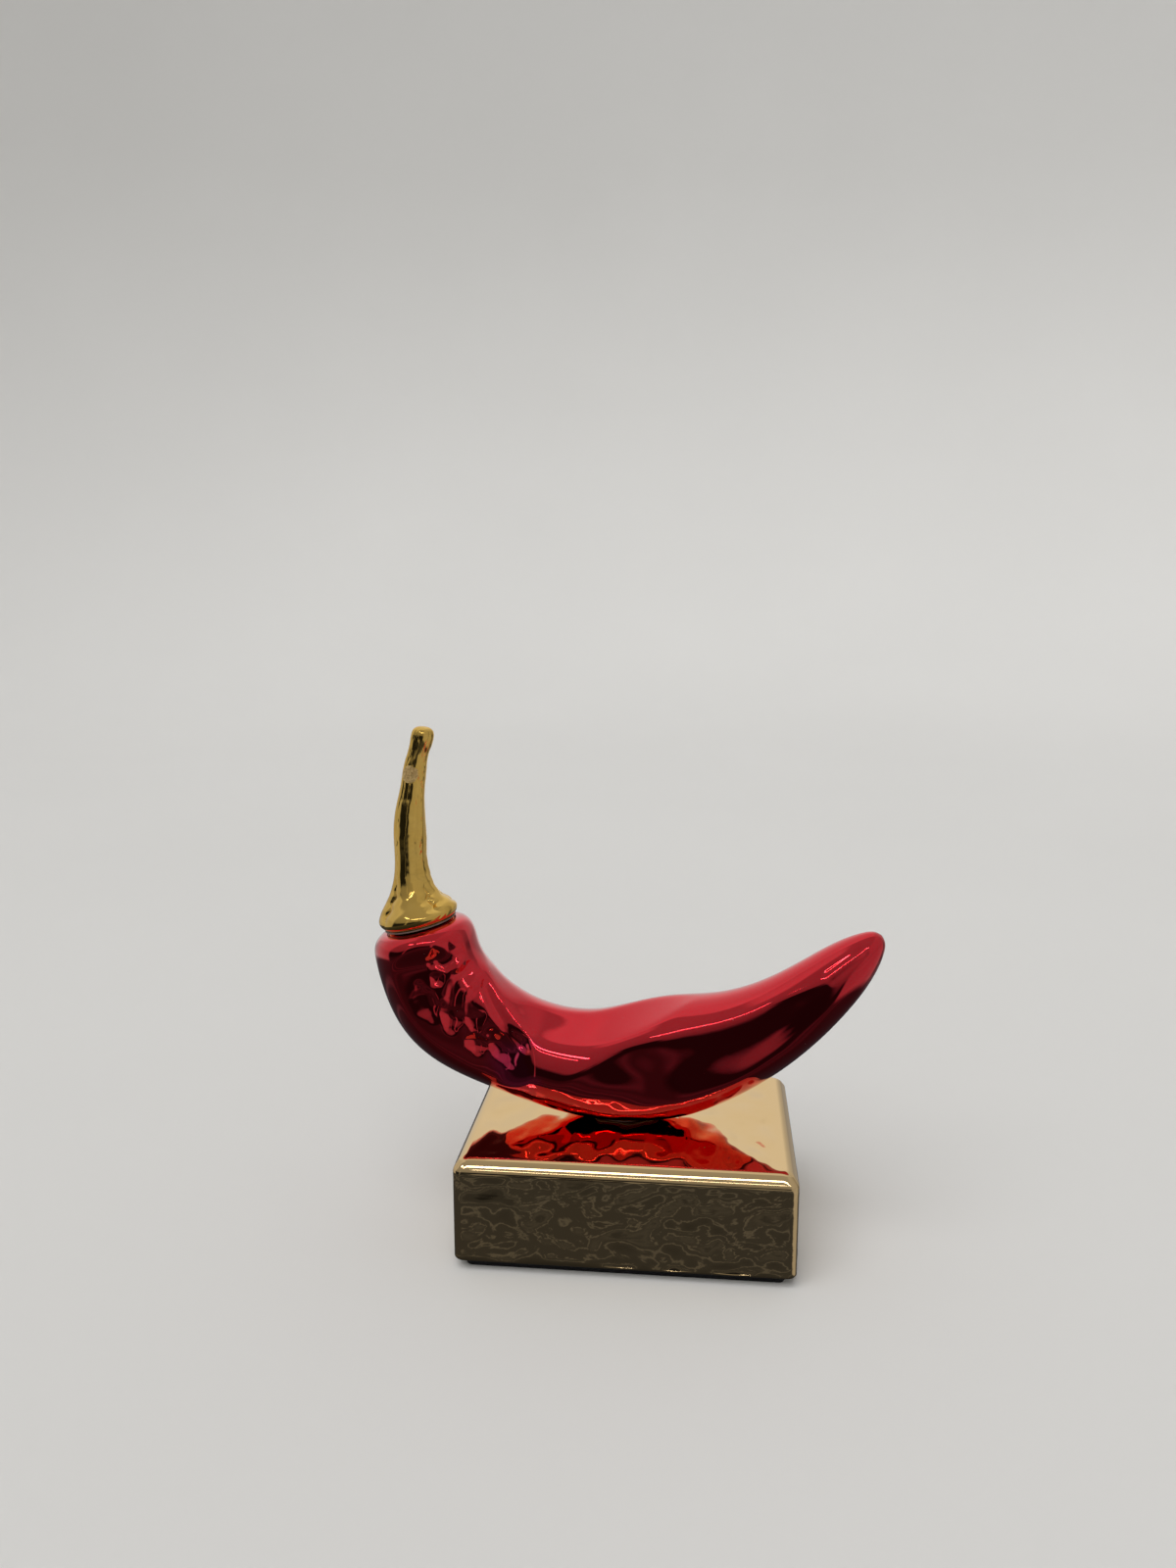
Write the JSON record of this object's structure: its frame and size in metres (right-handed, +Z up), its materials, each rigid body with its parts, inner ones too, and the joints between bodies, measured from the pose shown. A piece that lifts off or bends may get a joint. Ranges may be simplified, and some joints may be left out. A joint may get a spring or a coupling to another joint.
{
  "type": "chilli pepper ornament",
  "caption": "Table ornament: a mirror-red metallic ceramic chilli with a gold stem, glued by its belly to a gold rectangular block that stands on a soft pad.",
  "frame": {"origin": "middle of the footprint, on the surface that the pad rests on", "axes": "+Z up, +X towards the chilli's tip, -Y towards the front"},
  "size_m": [0.1569, 0.072, 0.1565],
  "materials": {
    "red_coat": "polished",
    "gold_stem": "polished",
    "gold_block": "polished",
    "pad": "matte",
    "glue": "satin"
  },
  "bodies": {
    "root": {"base_block": "gold_block", "base_pad": "pad", "chilli_body": "red_coat", "stem_and_calyx": "gold_stem", "neck_adhesive": "glue", "belly_adhesive": "glue"}
  },
  "joints": []
}
